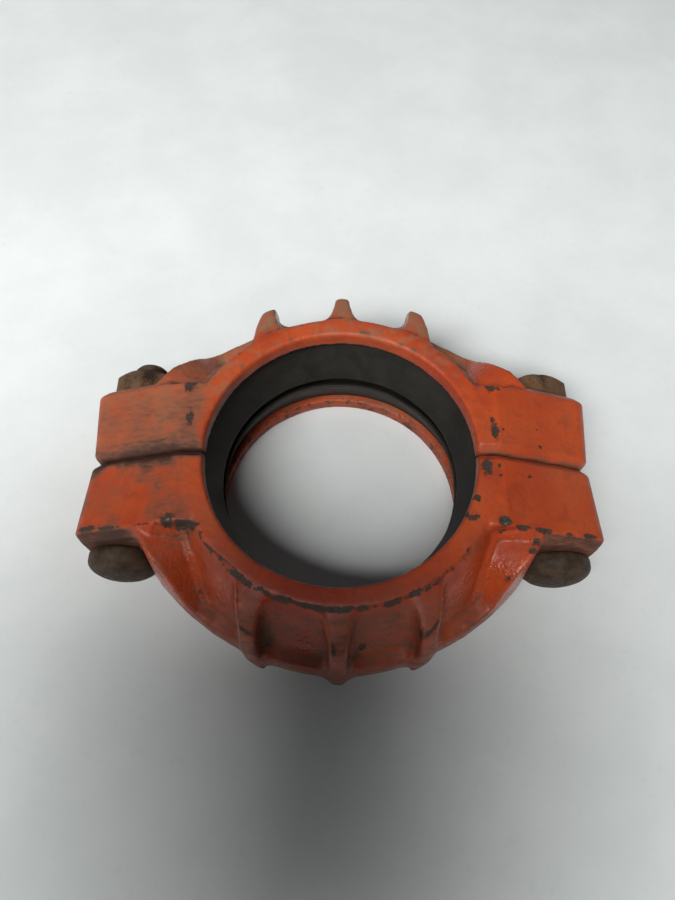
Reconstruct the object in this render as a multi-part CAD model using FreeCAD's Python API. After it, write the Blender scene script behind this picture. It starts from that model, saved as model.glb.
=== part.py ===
"""Two-bolt pipe coupling for grooved steel pipe: two cast housings, a rubber gasket, bolts and nuts.

The pipe axis is Z and the coupling's mid-plane is z = 0. The housings part at the plane y = 0 and the
bolts run along Y. Dimensions are in millimetres.
"""
import FreeCAD, Part
import math
import os

from FreeCAD import Vector

# Pipe interface: nominal 4 inch (DN 100) grooved steel pipe, 114.3 outside diameter.
KEY_RADIUS = 55.3
KEY_WIDTH = 8.0
HALF_WIDTH = 33.4

# Housing shell, as radius and height above the mid-plane.
RING_RADIUS = 64.3
RING_EDGE = 1.0
WALL_RADIUS = 73.0
WALL_Z = 15.0
RIDGE_ROOT_RADIUS = 76.0
RIDGE_HALF_WIDTH = 8.5
RIDGE_EDGE_RADIUS = 82.2
RIDGE_RADIUS = 83.0
POCKET_RADIUS = 67.5
POCKET_Z = 17.0
POCKET_SHOULDER_RADIUS = 62.5

# Ribs: three on each housing, parallel to Y.
RIB_OFFSETS = (-33.5, 0.0, 33.5)
RIB_TIP_WIDTH = 7.2
RIB_ROOT_WIDTH = 11.0
RIB_TAPER_LENGTH = 19.0
RIB_TOP_Z = 32.6
RIB_CREST_RADIUS = 79.5
RIB_CREST_Z = 28.0
RIB_CORNER_RADIUS = 5.0
RIB_SHOULDER_Z = 20.0
RIB_SHOULDER_RADIUS = 84.3
RIB_RADIUS = 85.4

# Bolt pads.
PAD_INNER_X = 58.0
PAD_CREASE_X = 65.0
PAD_CREASE_Z = 33.2
PAD_END_X = 105.1
PAD_END_Z = 18.5
PAD_CORNER_RADIUS = 7.5
PAD_DRAFT = 3.0
PAD_DEPTH = 35.0
PAD_BEVEL = 3.8
SPLIT_GAP = 0.8
SPLIT_BEVEL = 3.0

# The hollow between a gusset's rim and the ring starts straight below the pad's crease, between these x.
SCOOP_INNER_X = 50.0
SCOOP_OUTER_X = 71.5
SCOOP_FLARE = 6.0

# Gussets between the mid ridge and the pads, as (x, y) corners at the mid-plane and at the top.
GUSSET_BASE = ((82.0, 24.0), (82.0, 36.0), (75.0, 46.5), (68.0, 53.5), (61.5, 59.5), (50.5, 67.4),
               (42.0, 72.2), (38.0, 60.0), (50.0, 46.0), (62.0, 24.0))
GUSSET_TOP = ((79.5, 24.0), (79.5, 33.5), (74.5, 41.5), (66.5, 49.0), (59.5, 56.0), (48.5, 65.0),
              (40.5, 70.5), (38.0, 60.0), (50.0, 46.0), (62.0, 24.0))
GUSSET_TOP_Z = 28.0
# The gusset's rim: its height at distances along it from its pad end.
GUSSET_RIM_START = (79.5, 33.5)
GUSSET_RIM_END = (60.0, 58.0)
GUSSET_RIM = ((-16.0, 27.8), (0.0, 27.5), (9.0, 26.3), (17.0, 23.4), (25.0, 16.8), (31.0, 10.8),
              (37.0, 8.6), (60.0, 8.4))
GUSSET_FALL_TO_RING = 0.20
FASTENER_RELIEF_RADIUS = 16.4

# Fasteners: 5/8 inch track bolts and hex nuts.
BOLT_X = 90.5
BOLT_RADIUS = 7.9375
HEAD_RADIUS = 14.7
HEAD_RIM = 3.2
HEAD_HEIGHT = 10.6
NECK_HALF_WIDTH = 8.3
NECK_LENGTH = 9.0
OVAL_OFFSET = 1.6
HOLE_CLEARANCE = 0.3
BOLT_ENDS = {"left": 56.0, "right": 53.2}
BOLT_END_BEVEL = 1.4
NUT_ACROSS_FLATS = 27.0
NUT_HEIGHT = 13.9
NUT_BORE_RADIUS = 8.0
NUT_EDGE = 0.9

# Gasket: C-section ring with two lips.
GASKET_CLEARANCE = 0.3
GASKET_LIP_OUTER_RADIUS = 58.2
GASKET_LIP_TIP_RADIUS = 51.2
GASKET_HALF_GAP = 3.2
GASKET_TIP_THICKNESS = 2.6
GASKET_TIP_TAPER = 0.6
GASKET_BACK = 4.6
GASKET_CAVITY_Z = 19.0

SIDES = {"left": -1.0, "right": 1.0}
FAR = 150.0
AXIS_Z = Vector(0.0, 0.0, 1.0)
AXIS_Y = Vector(0.0, 1.0, 0.0)


def face_from(points):
    """Return the plane face bounded by a closed run of straight edges."""
    return Part.Face(Part.makePolygon(points + [points[0]]))


def mirrored_profile(points):
    """Return (radius, z) points above the mid-plane followed by their mirror images below it."""
    return list(points) + [(radius, -z) for radius, z in reversed(points)]


def turned(points):
    """Revolve a closed (radius, z) outline about the pipe axis."""
    face = face_from([Vector(radius, 0.0, z) for radius, z in points])
    return face.revolve(Vector(), AXIS_Z, 360.0)


def rounded_wire(points, y):
    """Join (x, z, corner radius) points at a given y, with an arc at each corner that has a radius."""
    corners = [Vector(x, y, z) for x, z, _ in points]
    edges = []
    ends = []
    for index, (_, _, radius) in enumerate(points):
        corner = corners[index]
        to_last = (corners[index - 1] - corner).normalize()
        to_next = (corners[(index + 1) % len(corners)] - corner).normalize()
        half_angle = to_last.getAngle(to_next) / 2.0
        reach = radius / math.tan(half_angle)
        ends.append((corner + to_last * reach, corner + to_next * reach))
        if radius:
            middle = (to_last + to_next).normalize()
            apex = corner + middle * (radius / math.sin(half_angle) - radius)
            edges.append([Part.Arc(ends[-1][0], apex, ends[-1][1]).toShape()])
        else:
            edges.append([])
    outline = []
    for index, arc in enumerate(edges):
        outline.extend(arc)
        outline.append(Part.makeLine(ends[index][1], ends[(index + 1) % len(ends)][0]))
    return Part.Wire(outline)


def box_between(low, high):
    """Return the box between two corner points."""
    size = high - low
    return Part.makeBox(size.x, size.y, size.z, low)


def shell():
    """Key flanges, sloping wall and mid ridge as one full ring, without the pocket."""
    outline = [
        (KEY_RADIUS, HALF_WIDTH - RING_EDGE),
        (KEY_RADIUS + RING_EDGE, HALF_WIDTH),
        (RING_RADIUS - RING_EDGE, HALF_WIDTH),
        (RING_RADIUS, HALF_WIDTH - RING_EDGE),
        (WALL_RADIUS, WALL_Z),
        (RIDGE_ROOT_RADIUS, RIDGE_HALF_WIDTH),
        (RIDGE_EDGE_RADIUS, RIDGE_HALF_WIDTH),
        (RIDGE_RADIUS, RIDGE_HALF_WIDTH / 2.0),
    ]
    return turned(mirrored_profile(outline))


def pocket():
    """Space inside the housings: the bore between the keys and the gasket pocket."""
    key_z = HALF_WIDTH - KEY_WIDTH
    outline = [
        (0.0, FAR),
        (KEY_RADIUS, FAR),
        (KEY_RADIUS, key_z),
        (POCKET_SHOULDER_RADIUS, key_z),
        (POCKET_RADIUS, POCKET_Z),
    ]
    return turned(mirrored_profile(outline))


def rib_ring():
    """Full ring with the ribs' radial section."""
    outline = [
        (KEY_RADIUS + RING_EDGE, RIB_TOP_Z, 0.0),
        (RING_RADIUS, RIB_TOP_Z, 0.0),
        (RIB_CREST_RADIUS, RIB_CREST_Z, RIB_CORNER_RADIUS),
        (RIB_SHOULDER_RADIUS, RIB_SHOULDER_Z, 0.0),
        (RIB_RADIUS, 0.0, 0.0),
        (RIB_SHOULDER_RADIUS, -RIB_SHOULDER_Z, 0.0),
        (RIB_CREST_RADIUS, -RIB_CREST_Z, RIB_CORNER_RADIUS),
        (RING_RADIUS, -RIB_TOP_Z, 0.0),
        (KEY_RADIUS + RING_EDGE, -RIB_TOP_Z, 0.0),
    ]
    return Part.Face(rounded_wire(outline, 0.0)).revolve(Vector(), AXIS_Z, 360.0)


def rib(offset, ring):
    """One rib: the part of the rib ring inside a slab that narrows towards the rib's tip."""
    tip_y = -math.sqrt(RIB_RADIUS ** 2 - offset ** 2) - 1.0
    neck_y = tip_y + RIB_TAPER_LENGTH / 2.0
    root_y = tip_y + RIB_TAPER_LENGTH
    inner_y = -math.sqrt(POCKET_RADIUS ** 2 - offset ** 2) + 4.0
    half_tip = RIB_TIP_WIDTH / 2.0
    half_root = RIB_ROOT_WIDTH / 2.0
    plan = [
        (-half_tip, tip_y),
        (half_tip, tip_y),
        (half_tip, neck_y),
        (half_root, root_y),
        (half_root, inner_y),
        (-half_root, inner_y),
        (-half_root, root_y),
        (-half_tip, neck_y),
    ]
    base = face_from([Vector(offset + x, y, -HALF_WIDTH) for x, y in plan])
    return base.extrude(AXIS_Z * (2.0 * HALF_WIDTH)).common(ring)


def pad(side):
    """One bolt pad of the front housing, drafted towards its split face, whose edge is bevelled."""
    def section(y, draft):
        end_x = PAD_END_X + draft
        outline = [
            (side * PAD_INNER_X, PAD_CREASE_Z, 0.0),
            (side * PAD_CREASE_X, PAD_CREASE_Z, 0.0),
            (side * end_x, PAD_END_Z, PAD_CORNER_RADIUS),
            (side * end_x, -PAD_END_Z, PAD_CORNER_RADIUS),
            (side * PAD_CREASE_X, -PAD_CREASE_Z, 0.0),
            (side * PAD_INNER_X, -PAD_CREASE_Z, 0.0),
        ]
        return rounded_wire(outline, y)

    split_y = -SPLIT_GAP / 2.0
    block = Part.makeLoft([section(split_y, 0.0), section(-PAD_DEPTH, PAD_DRAFT)], True, True)
    split_edges = [edge for edge in block.Edges if edge.BoundBox.YMin > split_y - 0.01]
    block = block.makeChamfer(SPLIT_BEVEL, split_edges)
    end_edges = [edge for edge in block.Edges if edge.BoundBox.YMax < 0.01 - PAD_DEPTH]
    return block.makeChamfer(PAD_BEVEL, end_edges)


def under_rim(side):
    """Everything below the surface that runs from the gusset's rim up to the ring."""
    along = Vector(side * (GUSSET_RIM_END[0] - GUSSET_RIM_START[0]),
                   GUSSET_RIM_START[1] - GUSSET_RIM_END[1], 0.0).normalize()
    to_ring = Vector(side * along.y, -side * along.x, -GUSSET_FALL_TO_RING)
    start = Vector(side * GUSSET_RIM_START[0], -GUSSET_RIM_START[1], 0.0) - to_ring * 15.0
    rim = Part.BSplineCurve()
    rim.interpolate([start + along * distance + AXIS_Z * height for distance, height in GUSSET_RIM])
    first = rim.StartPoint
    last = rim.EndPoint
    sides = Part.makePolygon([last, last - AXIS_Z * FAR, first - AXIS_Z * FAR, first])
    return Part.Face(Part.Wire([rim.toShape()] + sides.Edges)).extrude(to_ring * 65.0)


def scoop(side):
    """Space above the gusset's hollow, which cuts the pad's end back to its upper crease near the ring."""
    crease_y = PAD_BEVEL - PAD_DEPTH
    corners = [(SCOOP_INNER_X, crease_y), (SCOOP_OUTER_X, crease_y),
               (SCOOP_OUTER_X + SCOOP_FLARE, -PAD_DEPTH - SCOOP_FLARE), (SCOOP_INNER_X, -PAD_DEPTH - SCOOP_FLARE)]
    space = face_from([Vector(side * x, y, 0.0) for x, y in corners]).extrude(AXIS_Z * FAR)
    space = space.cut(under_rim(side))
    return space.fuse(space.mirror(Vector(), AXIS_Z))


def gusset(side):
    """Web from the mid ridge to a pad: level with the ridge at one end and with the pad at the other."""
    def outline(corners, z):
        points = [Vector(side * x, -y, z) for x, y in corners]
        return Part.makePolygon(points + [points[0]])

    upper = Part.makeLoft([outline(GUSSET_BASE, 0.0), outline(GUSSET_TOP, GUSSET_TOP_Z)], True, True)
    upper = upper.common(under_rim(side))
    return upper.fuse(upper.mirror(Vector(), AXIS_Z))


def oval_bar(half_width, low_y, high_y, side):
    """Bar along Y with an oval section, longer along X, on a bolt axis."""
    bar = None
    for shift in (-OVAL_OFFSET, OVAL_OFFSET):
        start = Vector(side * BOLT_X + shift, low_y, 0.0)
        round_bar = Part.makeCylinder(half_width, high_y - low_y, start, AXIS_Y)
        bar = round_bar if bar is None else bar.fuse(round_bar)
    low = Vector(side * BOLT_X - OVAL_OFFSET, low_y, -half_width)
    high = Vector(side * BOLT_X + OVAL_OFFSET, high_y, half_width)
    return bar.fuse(box_between(low, high)).removeSplitter()


def fastener_relief(side):
    """Round space beside the pad in which a bolt head or a turning nut clears the gusset."""
    return Part.makeCylinder(FASTENER_RELIEF_RADIUS, FAR, Vector(side * BOLT_X, -PAD_DEPTH, 0.0), -AXIS_Y)


def split_bevel(side):
    """Wedge that bevels the split edge across one key flange face, above (1) or below (-1)."""
    face_z = side * HALF_WIDTH
    depth_z = side * (HALF_WIDTH - SPLIT_BEVEL)
    split_y = -SPLIT_GAP / 2.0
    triangle = [
        Vector(-FAR, split_y, depth_z),
        Vector(-FAR, split_y + SPLIT_BEVEL, face_z + side * SPLIT_BEVEL),
        Vector(-FAR, split_y - 2.0 * SPLIT_BEVEL, face_z + side * SPLIT_BEVEL),
    ]
    return face_from(triangle).extrude(Vector(2.0 * FAR, 0.0, 0.0))


def front_housing():
    """Housing on the bolt head side, y < 0."""
    body = shell()
    ribs = rib_ring()
    for offset in RIB_OFFSETS:
        body = body.fuse(rib(offset, ribs))
    for side in SIDES.values():
        body = body.fuse(gusset(side))
    front_half = box_between(Vector(-FAR, -FAR, -FAR), Vector(FAR, -SPLIT_GAP / 2.0, FAR))
    body = body.common(front_half)
    for side in SIDES.values():
        body = body.fuse(pad(side).cut(scoop(side)))
    body = body.cut(pocket())
    for side in SIDES.values():
        body = body.cut(oval_bar(NECK_HALF_WIDTH + HOLE_CLEARANCE, -FAR, FAR, side))
        body = body.cut(fastener_relief(side))
        body = body.cut(split_bevel(side))
    return body.removeSplitter()


def bolt(side, end_y):
    """Track bolt: domed round head, oval neck and plain shank of the thread's outside diameter."""
    x = side * BOLT_X
    rim_y = -PAD_DEPTH - HEAD_RIM
    top_y = -PAD_DEPTH - HEAD_HEIGHT
    dome_height = HEAD_HEIGHT - HEAD_RIM
    dome_middle = Vector(HEAD_RADIUS * math.sin(math.radians(48.0)),
                         rim_y - dome_height * math.cos(math.radians(48.0)), 0.0)
    dome = Part.Arc(Vector(0.0, top_y, 0.0), dome_middle, Vector(HEAD_RADIUS, rim_y, 0.0)).toShape()
    outline = Part.makePolygon([
        Vector(HEAD_RADIUS, rim_y, 0.0),
        Vector(HEAD_RADIUS, -PAD_DEPTH, 0.0),
        Vector(BOLT_RADIUS, -PAD_DEPTH, 0.0),
        Vector(BOLT_RADIUS, end_y - BOLT_END_BEVEL, 0.0),
        Vector(BOLT_RADIUS - BOLT_END_BEVEL, end_y, 0.0),
        Vector(0.0, end_y, 0.0),
        Vector(0.0, top_y, 0.0),
    ])
    turned_bolt = Part.Face(Part.Wire([dome] + outline.Edges)).revolve(Vector(), AXIS_Y, 360.0)
    turned_bolt.translate(Vector(x, 0.0, 0.0))
    neck = oval_bar(NECK_HALF_WIDTH, -PAD_DEPTH, -PAD_DEPTH + NECK_LENGTH, side)
    return turned_bolt.fuse(neck).removeSplitter()


def nut(side):
    """Hex nut against the back housing's pad, with its corners bevelled."""
    corner_radius = NUT_ACROSS_FLATS / math.sqrt(3.0)
    corners = []
    for step in range(6):
        angle = math.radians(60.0 * step)
        corners.append(Vector(side * BOLT_X + corner_radius * math.cos(angle), PAD_DEPTH,
                              corner_radius * math.sin(angle)))
    body = face_from(corners).extrude(AXIS_Y * NUT_HEIGHT)
    flat_radius = NUT_ACROSS_FLATS / 2.0
    reach = corner_radius - flat_radius + NUT_EDGE
    outline = face_from([
        Vector(0.0, 0.0, 0.0),
        Vector(flat_radius, 0.0, 0.0),
        Vector(flat_radius + reach, reach * 0.6, 0.0),
        Vector(flat_radius + reach, NUT_HEIGHT - reach * 0.6, 0.0),
        Vector(flat_radius, NUT_HEIGHT, 0.0),
        Vector(0.0, NUT_HEIGHT, 0.0),
    ])
    envelope = outline.revolve(Vector(), AXIS_Y, 360.0)
    envelope.translate(Vector(side * BOLT_X, PAD_DEPTH, 0.0))
    bore = Part.makeCylinder(NUT_BORE_RADIUS, 2.0 * NUT_HEIGHT,
                             Vector(side * BOLT_X, PAD_DEPTH - NUT_HEIGHT / 2.0, 0.0), AXIS_Y)
    return body.common(envelope).cut(bore)


def gasket():
    """Rubber ring of C-section, open inwards between its two lips."""
    side_z = HALF_WIDTH - KEY_WIDTH - GASKET_CLEARANCE
    outer = POCKET_RADIUS - GASKET_CLEARANCE
    body = turned(mirrored_profile([
        (GASKET_LIP_TIP_RADIUS, GASKET_HALF_GAP),
        (GASKET_LIP_OUTER_RADIUS, side_z - 1.0),
        (GASKET_LIP_OUTER_RADIUS + 1.0, side_z),
        (POCKET_SHOULDER_RADIUS - GASKET_CLEARANCE, side_z),
        (outer, POCKET_Z - GASKET_CLEARANCE),
    ]))
    tip_back = GASKET_LIP_TIP_RADIUS + GASKET_TIP_THICKNESS
    cavity = turned(mirrored_profile([
        (GASKET_LIP_TIP_RADIUS - 1.0, GASKET_HALF_GAP - GASKET_TIP_TAPER),
        (tip_back, GASKET_HALF_GAP + GASKET_TIP_TAPER),
        (outer - GASKET_BACK - 1.0, GASKET_CAVITY_Z),
        (outer - GASKET_BACK, GASKET_CAVITY_Z - 1.5),
    ]))
    return body.cut(cavity)


def build():
    """Return every piece of the coupling by node name."""
    housing = front_housing()
    pieces = {
        "housing_front": housing,
        "housing_back": housing.copy().rotate(Vector(), AXIS_Z, 180.0),
        "gasket": gasket(),
    }
    for name, side in SIDES.items():
        pieces["bolt_" + name] = bolt(side, BOLT_ENDS[name])
        pieces["nut_" + name] = nut(side)
    return pieces


os.makedirs("parts", exist_ok=True)
for node, shape in build().items():
    shape.exportStep("parts/" + node + ".step")
    box = shape.BoundBox
    print(node, shape.isValid(), len(shape.Solids), "solid", round(shape.Volume / 1000.0, 2), "cm3",
          [round(v, 1) for v in (box.XMin, box.YMin, box.ZMin, box.XMax, box.YMax, box.ZMax)])
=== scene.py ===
import math

import bpy
import numpy as np
from mathutils import Matrix, Vector, noise
from mathutils.bvhtree import BVHTree


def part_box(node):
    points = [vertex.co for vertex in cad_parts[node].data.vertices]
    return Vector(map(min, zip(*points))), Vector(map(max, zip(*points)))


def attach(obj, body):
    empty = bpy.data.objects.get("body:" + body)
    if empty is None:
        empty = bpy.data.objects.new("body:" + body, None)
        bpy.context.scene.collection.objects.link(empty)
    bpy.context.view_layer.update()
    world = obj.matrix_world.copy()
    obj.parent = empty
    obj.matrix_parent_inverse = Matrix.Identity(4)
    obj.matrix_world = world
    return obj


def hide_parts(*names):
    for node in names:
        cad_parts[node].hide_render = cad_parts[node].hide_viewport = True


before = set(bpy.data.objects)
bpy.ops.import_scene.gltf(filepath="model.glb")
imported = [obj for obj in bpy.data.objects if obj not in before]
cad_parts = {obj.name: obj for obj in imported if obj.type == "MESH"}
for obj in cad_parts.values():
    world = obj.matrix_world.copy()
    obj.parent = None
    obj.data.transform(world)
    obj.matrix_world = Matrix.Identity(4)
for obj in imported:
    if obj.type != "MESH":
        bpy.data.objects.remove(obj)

MM = 0.001
TURN = 2.0 * math.pi
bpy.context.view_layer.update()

# Places read from the frame.
HOUSING_LOW, HOUSING_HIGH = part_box("housing_front")
FLOOR_Z = HOUSING_LOW.z
HALF_WIDTH = HOUSING_HIGH.z
SPLIT_Y = HOUSING_HIGH.y
GASKET_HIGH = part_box("gasket")[1]
NUT_SEAT_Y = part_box("nut_left")[0].y


# ---------------------------------------------------------------- mesh helpers

def new_piece(name, mesh):
    """Link a mesh into the scene as an object with smooth faces."""
    piece = bpy.data.objects.new(name, mesh)
    bpy.context.scene.collection.objects.link(piece)
    mesh.shade_smooth()
    return piece


def finish_piece(piece, material, body, node):
    """Give a piece its material, attach it to its body and hide the design part that it stands
    for.
    """
    piece.data.materials.clear()
    piece.data.materials.append(material)
    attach(piece, body)
    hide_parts(node)


def applied(piece):
    """Replace a piece's mesh with what its modifiers make of it."""
    graph = bpy.context.evaluated_depsgraph_get()
    result = bpy.data.meshes.new_from_object(piece.evaluated_get(graph))
    piece.modifiers.clear()
    piece.data = result
    return result


def add_remesh(piece, voxel):
    """Rebuild the surface on a grid of cubes of the given size."""
    modifier = piece.modifiers.new("remesh", "REMESH")
    modifier.mode = "VOXEL"
    modifier.voxel_size = voxel
    modifier.use_smooth_shade = True


def add_offset(piece, distance):
    """Move the surface outwards, or inwards if the distance is negative."""
    modifier = piece.modifiers.new("offset", "DISPLACE")
    modifier.strength = distance
    modifier.mid_level = 0.0
    modifier.direction = "NORMAL"


def add_smooth(piece, passes):
    """Relax the surface a little."""
    modifier = piece.modifiers.new("smooth", "SMOOTH")
    modifier.factor = 0.5
    modifier.iterations = passes


def vertex_array(mesh, attribute):
    """Return a mesh's vertex places or normals as rows of three numbers."""
    values = np.empty(len(mesh.vertices) * 3)
    getattr(mesh, attribute).foreach_get("co" if attribute == "vertices" else "vector", values)
    return values.reshape(-1, 3)


def set_places(mesh, points):
    """Move a mesh's vertices to the given places."""
    mesh.vertices.foreach_set("co", np.ascontiguousarray(points, dtype=float).ravel())
    mesh.shade_smooth()
    mesh.update()


def fractal(points, size, octaves, seed):
    """Noise from about -1 to 1 at each point; size is its largest wavelength."""
    shift = Vector((seed * 17.3, seed * 5.1, seed * 9.7))
    return np.array([noise.fractal(Vector(p) / size + shift, 1.0, 2.0, octaves) for p in points])


def ease(value, low, high):
    """Smooth step from 0 at low to 1 at high."""
    t = np.clip((value - low) / (high - low), 0.0, 1.0)
    return t * t * (3.0 - 2.0 * t)


def hump(value, middle, width):
    """Bell curve: 1 at its middle, falling to about a third at its width."""
    return np.exp(-((value - middle) / width) ** 2)


def store(mesh, name, values):
    """Save one number for each vertex, for the material to read."""
    layer = mesh.attributes.new(name, "FLOAT", "POINT")
    layer.data.foreach_set("value", np.ascontiguousarray(values, dtype=np.float32))


def neighbour_means(mesh):
    """Return the first and second end of every edge, and a function that averages at the vertices.

    The function takes the value that each edge gives its first end and the value it gives its
    second end, and returns the mean of what each vertex is given.
    """
    edges = np.empty(len(mesh.edges) * 2, dtype=int)
    mesh.edges.foreach_get("vertices", edges)
    first, second = edges.reshape(-1, 2).T
    total = len(mesh.vertices)
    count = np.bincount(first, minlength=total) + np.bincount(second, minlength=total)
    count = np.maximum(count, 1)

    def mean(at_first, at_second):
        given = np.bincount(first, at_first, total) + np.bincount(second, at_second, total)
        return given / count

    return first, second, mean


RELAX_STEP = 0.6


def relaxed(mesh, points, weight, passes):
    """Move each point towards the middle of its neighbours, as far as its weight allows."""
    first, second, mean = neighbour_means(mesh)
    for _ in range(passes):
        middle = np.stack([mean(row[second], row[first]) for row in points.T], axis=1)
        points = points + (middle - points) * (RELAX_STEP * weight)[:, None]
    return points


def convexity(mesh, points, normals, passes):
    """Mean curvature at each vertex in 1/m: positive on outer edges, negative in inner corners."""
    first, second, mean = neighbour_means(mesh)
    along = points[second] - points[first]
    bend = normals[second] - normals[first]
    edge_value = (along * bend).sum(1) / np.maximum((along * along).sum(1), 1e-12)
    value = mean(edge_value, edge_value)
    for _ in range(passes):
        value = 0.5 * value + 0.5 * mean(value[second], value[first])
    return value


# ---------------------------------------------------------------- marks on the castings

# Places where the paint has come off, on the top face: (x, y) in mm, half size along X and Y.
CHIPS = (
    # back left pad: two dark chips on its crease
    (-63.4, 30.5, 2.0, 4.0), (-66.0, 33.0, 2.6, 1.2), (-61.8, 13.5, 1.5, 2.8),
    # back right pad
    (62.4, 30.4, 2.0, 2.2), (57.4, 33.6, 2.8, 1.0), (62.9, 9.6, 1.4, 3.4), (62.0, 14.5, 0.8, 1.2),
    (66.4, 10.4, 0.7, 0.6), (82.6, 5.4, 0.8, 0.7), (66.0, 29.5, 0.8, 0.7),
    # front right pad: worn crease corner, spots and the chipped end crease
    (63.4, -29.2, 2.0, 1.9), (71.2, -31.0, 2.4, 0.8), (79.5, -31.3, 2.8, 1.0),
    (90.5, -31.4, 1.6, 0.6), (99.5, -31.2, 3.0, 0.8), (76.1, -8.8, 0.9, 0.8),
    (58.4, -7.0, 1.9, 3.2), (63.3, -6.0, 0.6, 1.1), (63.2, -10.4, 0.7, 0.6),
    (53.4, -20.0, 1.2, 1.2), (50.7, -28.4, 1.5, 1.0), (48.5, -26.5, 1.0, 0.8),
    (53.0, -27.6, 0.7, 0.6),
    # front left pad: worn crease corner running on towards the ring, and the end crease
    (-66.3, -30.0, 2.4, 1.9), (-60.5, -31.4, 3.6, 0.9), (-56.0, -32.6, 1.8, 1.0),
    (-100.5, -30.6, 4.0, 1.2), (-92.0, -31.2, 4.0, 0.6), (-77.0, -31.2, 3.0, 0.4),
    (-30.0, -46.0, 0.7, 0.7),
)
# Chips with bare metal showing: (x, y) in mm and half size.
GLINTS = ((-66.2, -30.4, 1.0), (63.8, -29.4, 1.3), (56.6, 33.9, 1.2))
# Spots below the top face: (x, y, z) in mm and half size.
DEEP_SPOTS = (
    (76.4, -35.4, 27.0, 1.5), (74.8, -38.5, 26.0, 1.5), (65.8, -48.0, 20.0, 1.2),
    (55.0, -47.1, 22.0, 1.2), (-53.3, -47.8, 22.0, 1.3), (-54.9, -53.8, 12.0, 1.2),
    (-63.7, -52.6, 14.0, 1.4), (30.4, -70.9, 26.0, 1.8), (9.5, -73.6, 12.3, 1.6),
    (-60.0, 60.0, 16.0, 2.0), (34.0, 78.0, 20.0, 1.6), (-2.0, 84.0, 14.0, 1.8),
    (-90.0, -34.0, 18.0, 1.5),
)
# Dark lines on the front housing, as two ends (x, y, z) in mm: along the ribs' sides and feet,
# and chips along the ring's edge.
DARK_LINES = (
    ((-37.5, -57.0, 31.5), (-37.3, -69.0, 28.2)), ((-37.3, -69.0, 28.2), (-30.5, -73.5, 27.5)),
    ((-2.6, -74.0, 30.0), (-1.4, -79.0, 27.8)),
    ((37.5, -66.0, 29.0), (32.0, -72.4, 27.8)), ((32.0, -56.4, 32.6), (36.8, -53.2, 32.4)),
    ((20.0, -60.8, 33.0), (29.5, -57.8, 32.6)),
    ((-53.0, -38.0, 31.5), (-41.0, -47.5, 33.4)), ((-41.0, -47.5, 33.4), (-32.5, -54.8, 33.2)),
)
LINE_HALF_WIDTH = 0.9

# Paint wear, from 0 for whole paint to 1 for a chip's middle. A pair is the amount on a part and
# how much the patches of noise change it.
EDGE_WEAR = 0.44
NEAR_RING_WEAR = (0.40, 0.50)
NEAR_RIGHT_LESS = 0.45
FAR_RING_WEAR = 0.36
CREASE_WEAR = (0.24, 0.25)
KEY_WEAR = (0.31, 0.16)
LINE_WEAR = 0.66

# Dirt and painted shade, from 0 for none to 1 for a black crust.
NEAR_BAND_DIRT, FAR_BAND_DIRT = 1.15, 0.62
STAIN_DIRT, SMUDGE_DIRT = 0.33, 0.16
# The corner amount is dirt and painted shade.
GAP_DIRT, CORNER_DIRT_AND_SHADE = 0.9, 0.62
INNER_RING_DIRT, OUTER_RING_DIRT, BLOTCH_DIRT = 0.35, 0.8, 0.34
# The low amount makes the casting darker towards the bottom; the near bay and near end amounts are
# painted shade.
LOW_DARKENING, NEAR_BAY_SHADE, NEAR_END_SHADE, CLOUD_DIRT = 0.30, 0.42, 0.72, 0.15

# Dust, from 0 for none to 1 for a covering layer.
THIN_DUST, WALL_DUST, FAR_LEFT_DUST, MOTTLED_DUST, CLOUD_DUST = 0.05, 0.80, 0.46, 0.50, 0.14

# Places on the castings in mm, which the marks keep to. A pair is where a mark begins to show and
# where it is full.
TOP_FACE_FROM = 12.0
RING_EDGE_RADIUS, RING_EDGE_WIDTH, RING_EDGE_FROM = 64.0, 1.3, 30.0
RING_FACE_FROM = 31.0
RING_HALF_SPREAD = (46.0, 54.0)
INNER_LINE_RADIUS, INNER_LINE_WIDTH = 57.4, 0.6
OUTER_LINE_RADIUS, OUTER_LINE_WIDTH = 65.2, 0.7
WALL_RADIUS = (65.5, 69.0)
PAD_CREASE_Y, PAD_CREASE_WIDTH = 31.2, 0.8
PAD_INNER_X = 66.0
PAD_FACE_FROM = (52.0, 60.0)
NEAR_END_FROM_X = (75.0, 83.0)
KEY_OUTER_RADIUS = 57.0
KEY_FACE_BELOW = -24.0
# Convexity in 1/m at which an outer edge wears and an inner corner gathers dirt and painted shade.
EDGE_CONVEXITY = (180.0, 420.0)
CORNER_CONCAVITY = (60.0, 300.0)


def spots_on_top(points, spots):
    """How far into an elliptical spot on the top face each point is.

    The value is 1 at a spot's middle, 0.5 at its rim and 0 from twice its size on.
    """
    best = np.zeros(len(points))
    for x, y, half_x, half_y in spots:
        reach = np.hypot((points[:, 0] / MM - x) / half_x, (points[:, 1] / MM - y) / half_y)
        best = np.maximum(best, 1.0 - 0.5 * reach)
    return best * (points[:, 2] > TOP_FACE_FROM * MM)


def round_spots(points, spots):
    """The same for ball-shaped spots given by their place and half size."""
    best = np.zeros(len(points))
    for x, y, z, half in spots:
        reach = np.linalg.norm(points / MM - np.array((x, y, z)), axis=1) / half
        best = np.maximum(best, 1.0 - 0.5 * reach)
    return best


def near_lines(points, lines, half):
    """1 on each line, falling to almost 0 at twice its half width."""
    best = np.zeros(len(points))
    for start, end in lines:
        start, along = np.array(start), np.array(end) - np.array(start)
        offset = points / MM - start
        part = np.clip(offset @ along / (along @ along), 0.0, 1.0)
        distance = np.linalg.norm(offset - part[:, None] * along, axis=1)
        best = np.maximum(best, hump(distance, 0.0, half))
    return best


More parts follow.
